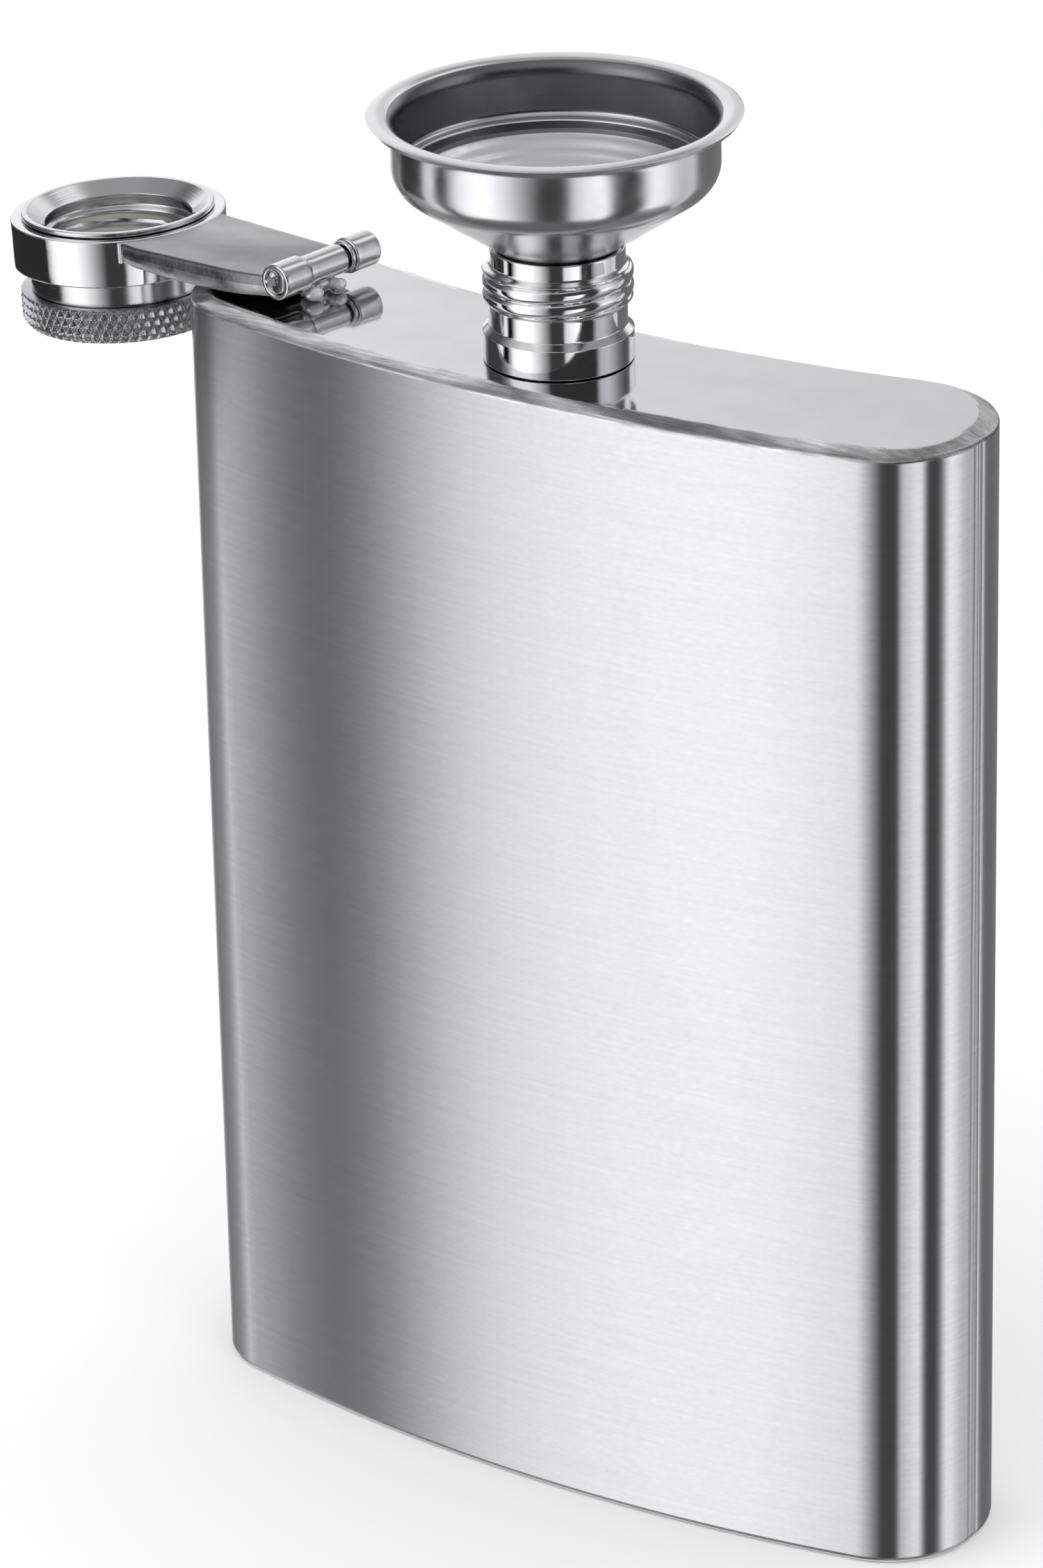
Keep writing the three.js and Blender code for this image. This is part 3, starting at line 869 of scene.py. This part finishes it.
bowl_outline = split(fillet(
    [(CONE_MOUTH, CONE_END, 0.1), (BOWL_RADIUS, BOWL_FOOT + 0.05, 3.4)]
    + lip(LIP_ROUND - SHEET, 0, LIP_SWEEP) + lip(LIP_ROUND, LIP_SWEEP, 0)
    + [(inner, floor + 0.75, 1.0), (inner - 0.95, floor + 0.3, 0.35), (inner - 1.15, floor - 0.55, 0.2),
       (inner - 1.5, floor - 0.9, 0.25), (CONE_MOUTH + 1.0, CONE_END + 1.25, 1.2),
       (SPOUT_TOP - SPOUT_WALL + 0.15, CONE_END + 0.55, 0.4), (SPOUT_TOP - SPOUT_WALL + 0.15, CONE_END + 0.5),
       (SPOUT_TOP + 0.05, CONE_END + 0.5), (SPOUT_TOP + 0.05, CONE_END)], 8), 0.35)


def spun(r, z, a):
    """Faint rings that the spinning tool leaves on the bowl's floor."""
    if r > inner - 1.5 or z < CONE_END + 0.9 or z < CONE_END + 0.5 + (r - CONE_MOUTH) * 0.7:
        return r, z
    edge = -0.07 * math.exp(-((r - 13.2) / 0.13) ** 2)
    return r, z + edge + 0.05 * sin(r * 2 * pi / 1.15) + 0.014 * sin(r * 2 * pi / 0.41)


bowl = lathe("funnel_pan", bowl_outline, IN_NECK, 200, spun)
dress(bowl, "funnel", "funnel_steel", FUNNEL, "funnel_bowl")
bowl.data.materials.append(FUNNEL_INSIDE_SHADED)
bowl.data.materials.append(FUNNEL_FLOOR)
# painted shade: the inside wall and the step ring take the dark copy of the funnel's steel
for face in bowl.data.polygons:
    middle = (IN_NECK.inverted() @ face.center) / MM
    r = Vector(middle[:2]).length
    inside = face.normal.dot(Vector((middle.x, middle.y, 0)).normalized()) < 0.1
    if inside and inner - 0.3 < r < inner + 0.9 and floor + 0.9 < middle.z < lip_z + 1.45:
        face.material_index = 1
    elif inner - 1.45 < r < inner - 0.9 and floor - 0.9 < middle.z < floor + 0.2:
        face.material_index = 1
    elif r < inner - 0.9 and face.normal.z > 0.3:
        face.material_index = 2
spout_outline = split(fillet([
    (SPOUT_TIP - SPOUT_WALL, SPOUT_END, 0.1), (SPOUT_TIP, SPOUT_END, 0.15), (SPOUT_TOP, CONE_END - 2, 0.8),
    (SPOUT_TOP, CONE_END + 0.45), (SPOUT_TOP - SPOUT_WALL, CONE_END + 0.45, 0.2),
    (SPOUT_TOP - SPOUT_WALL, CONE_END - 2, 0.8)]), 1.2)
spout = lathe("funnel_pipe", spout_outline, IN_NECK, 96)
dress(spout, "funnel", "funnel_steel", FUNNEL, "funnel_spout")


# ---- Studio: pale floor, a surround seen in the steel, soft lights ----
def flag(name, corners, low, high, grey):
    """A bent card, seen only in reflections."""
    points = [(x, y, z) for x, y in corners for z in (low, high)]
    faces = [(2 * k, 2 * k + 2, 2 * k + 3, 2 * k + 1) for k in range(len(corners) - 1)]
    card = add_mesh(name, points, faces, IN_FLASK)
    m = Nodes(name)
    m.tint((grey,) * 3, m.noise(30, 2), 0.9, 1.1)
    m.set(roughness=0.9)
    card.data.materials.append(m.material)
    card.visible_camera = card.visible_diffuse = card.visible_shadow = False


FLOOR_WIDTH = 5000
FLOOR_DROP = 0.00002             # metres, so that the base doesn't flicker through the floor
LAMPS = (("key", (-0.7, -0.9, 1.1), 5), ("fill", (1.0, -0.4, 1.0), 3))
LAMP_SIZE = 1.2
AIM = (0, 0, 0.06)               # the middle of the flask


def studio():
    half = FLOOR_WIDTH / 2
    points = [(-half, -half, 0), (half, -half, 0), (half, half, 0), (-half, half, 0)]
    ground = add_mesh("floor", points, [(0, 1, 2, 3)], Matrix.Translation((0, 0, -FLOOR_DROP)))
    m = Nodes("floor")
    m.tint((0.93, 0.93, 0.935), m.noise(2, 2), 0.995, 1.005)
    m.set(roughness=0.9)
    ground.data.materials.append(m.material)
    ground.visible_glossy = False
    flag("black_flag", ((-118, -54), (-136, -32), (-144, 0), (-136, 45)), 84, 126, 0.02)
    for name, place, power in LAMPS:
        light = bpy.data.lights.new(name, "AREA")
        light.energy = power
        light.size = LAMP_SIZE
        lamp = bpy.data.objects.new(name, light)
        bpy.context.scene.collection.objects.link(lamp)
        lamp.location = place
        lamp.rotation_euler = (Vector(AIM) - Vector(place)).to_track_quat("-Z", "Y").to_euler()
        lamp.visible_glossy = False


# Brightness of the studio by compass angle, in degrees from -Y towards +X: below eye level, above it, overhead and
# down on the table. A colour ramp holds 32 stops, so the lowest ring is in two parts.
LOW = [(-180, 0.2), (-158, 0.2), (-152, 0.9), (-147, 1.3), (-129, 1.3), (-122, 0.2), (-98, 0.3), (-80, 0.42),
       (-70, 0.78), (-61.5, 1.1), (-59.8, 1.05), (-57.5, 0.05), (-55, 0), (-49.5, 0), (-46.5, 0.28), (-43, 0.72),
       (-39, 1.15), (-34, 1.32), (-26, 1.5), (-16, 1.6), (-10, 1.4), (-4, 1.15), (3, 0.9), (10, 0.55), (18, 0.24),
       (23, 0.05), (42, 0.05), (46, 0.9), (69, 1.55), (76, 0.05), (95, 0.05), (104, 1.4)]
LOW_BACK = [(104, 1.4), (114, 1.3), (124, 0.85), (136, 0.62), (142, 0.8), (147.5, 0.85), (150.5, 0.18), (180, 0.18)]
MIDDLE = [(-180, 1.15), (-170, 1.05), (-160, 0.8), (-149, 0.88), (-142, 1.1), (-118, 1.1), (-108, 0.3), (-98, 0.08),
          (-66, 0.08), (-56, 0.25), (-48, 0.55), (-40, 1.3), (-12, 1.45), (5, 0.8), (16, 0.35), (21, 0.05), (92, 0.05),
          (101, 0.85), (114, 0.95), (128, 0.6), (138, 0.34), (152, 0.14), (165, 0.2), (172, 1.0), (180, 1.15)]
HIGH = [(-180, 0.3), (-165, 0.35), (-152, 0.95), (-122, 0.95), (-108, 0.3), (-70, 0.4), (-45, 0.8), (-10, 0.85),
        (20, 0.6), (60, 0.6), (90, 0.35), (130, 0.35), (148, 0.3), (158, 1.2), (172, 1.2), (180, 0.3)]
TABLE = [(-180, 0.5), (-162, 1.4), (-118, 1.4), (-98, 0.3), (-60, 0.15), (80, 0.15), (130, 0.3), (160, 0.5),
         (180, 0.5)]
ZENITH = 0.42
WHITEST = 1.6
# sines of the elevations between which one ring gives way to the next
TO_MIDDLE = (0.0, 0.14)
TO_HIGH = (0.5, 0.72)
TO_ZENITH = (0.86, 0.97)
TO_TABLE = (-0.62, -0.76)


def surround():
    world = bpy.data.worlds.new("studio")
    bpy.context.scene.world = world
    world.use_nodes = True
    world.cycles.sampling_method = "NONE"        # every ray finds the surround by itself, so the stripes stay crisp
    tree = world.node_tree
    nodes, link = tree.nodes, tree.links.new
    back = nodes["Background"]

    def math_node(operation, a, b=None):
        node = nodes.new("ShaderNodeMath")
        node.operation = operation
        for socket, value in zip(node.inputs, (a, b)):
            if isinstance(value, (int, float)):
                socket.default_value = value
            elif value is not None:
                link(value, socket)
        return node.outputs[0]

    def ramp(factor, stops):
        node = nodes.new("ShaderNodeValToRGB")
        elements = node.color_ramp.elements
        while len(elements) < len(stops):
            elements.new(0.5)
        for element, (angle, value) in zip(elements, stops):
            element.position = (angle + 180) / 360
            element.color = (value / WHITEST, value / WHITEST, value * 1.01 / WHITEST, 1)
        link(factor, node.inputs["Fac"])
        return node.outputs["Color"]

    def mix(factor, a, b):
        node = nodes.new("ShaderNodeMix")
        node.data_type = "RGBA"
        sockets = [s for s in node.inputs if s.type == "RGBA"]
        for socket, value in zip(sockets, (a, b)):
            if isinstance(value, (int, float)):
                socket.default_value = (value / WHITEST,) * 3 + (1,)
            else:
                link(value, socket)
        link(factor, node.inputs["Factor"])
        return [s for s in node.outputs if s.type == "RGBA"][0]

    def rise(value, low, high):
        node = nodes.new("ShaderNodeMapRange")
        node.interpolation_type = "SMOOTHSTEP"
        node.inputs["From Min"].default_value = low
        node.inputs["From Max"].default_value = high
        link(value, node.inputs["Value"])
        return node.outputs[0]

    split_node = nodes.new("ShaderNodeSeparateXYZ")
    link(nodes.new("ShaderNodeTexCoord").outputs["Generated"], split_node.inputs[0])
    x, y, height = split_node.outputs
    compass = math_node("ARCTAN2", x, math_node("MULTIPLY", y, -1))
    around = math_node("ADD", math_node("DIVIDE", compass, 2 * pi), 0.5)
    # height is the sine of the elevation
    at_back = math_node("GREATER_THAN", compass, radians(LOW_BACK[0][0]))
    low_room = mix(at_back, ramp(around, LOW), ramp(around, LOW_BACK))
    room = mix(rise(height, *TO_MIDDLE), low_room, ramp(around, MIDDLE))
    room = mix(rise(height, *TO_HIGH), room, ramp(around, HIGH))
    room = mix(rise(height, *TO_ZENITH), room, ZENITH)
    room = mix(rise(height, *TO_TABLE), room, ramp(around, TABLE))
    seen = nodes.new("ShaderNodeLightPath")
    link(mix(seen.outputs["Is Glossy Ray"], 1.0, room), back.inputs["Color"])
    back.inputs["Strength"].default_value = WHITEST


# the camera that was fitted to the photo's outlines: metres, then degrees about Z, X and the line of sight
CAMERA_AT = (0.39764, -0.57666, 0.38706)
CAMERA_TURN = (35.039, 66.193, -1.197)
LENS = 167.2
SENSOR = 36


def camera():
    lens = bpy.data.cameras.new("camera")
    lens.lens = LENS
    lens.sensor_width = SENSOR
    lens.clip_start = 0.01
    lens.clip_end = 20
    eye = bpy.data.objects.new("camera", lens)
    compass, tilt, roll = (radians(a) for a in CAMERA_TURN)
    turn = Matrix.Rotation(compass, 4, "Z") @ Matrix.Rotation(tilt, 4, "X") @ Matrix.Rotation(roll, 4, "Z")
    eye.matrix_world = Matrix.Translation(CAMERA_AT) @ turn
    bpy.context.scene.collection.objects.link(eye)
    bpy.context.scene.camera = eye


studio()
surround()
camera()
bpy.context.scene.view_settings.view_transform = "Standard"

bpy.context.view_layer.update()
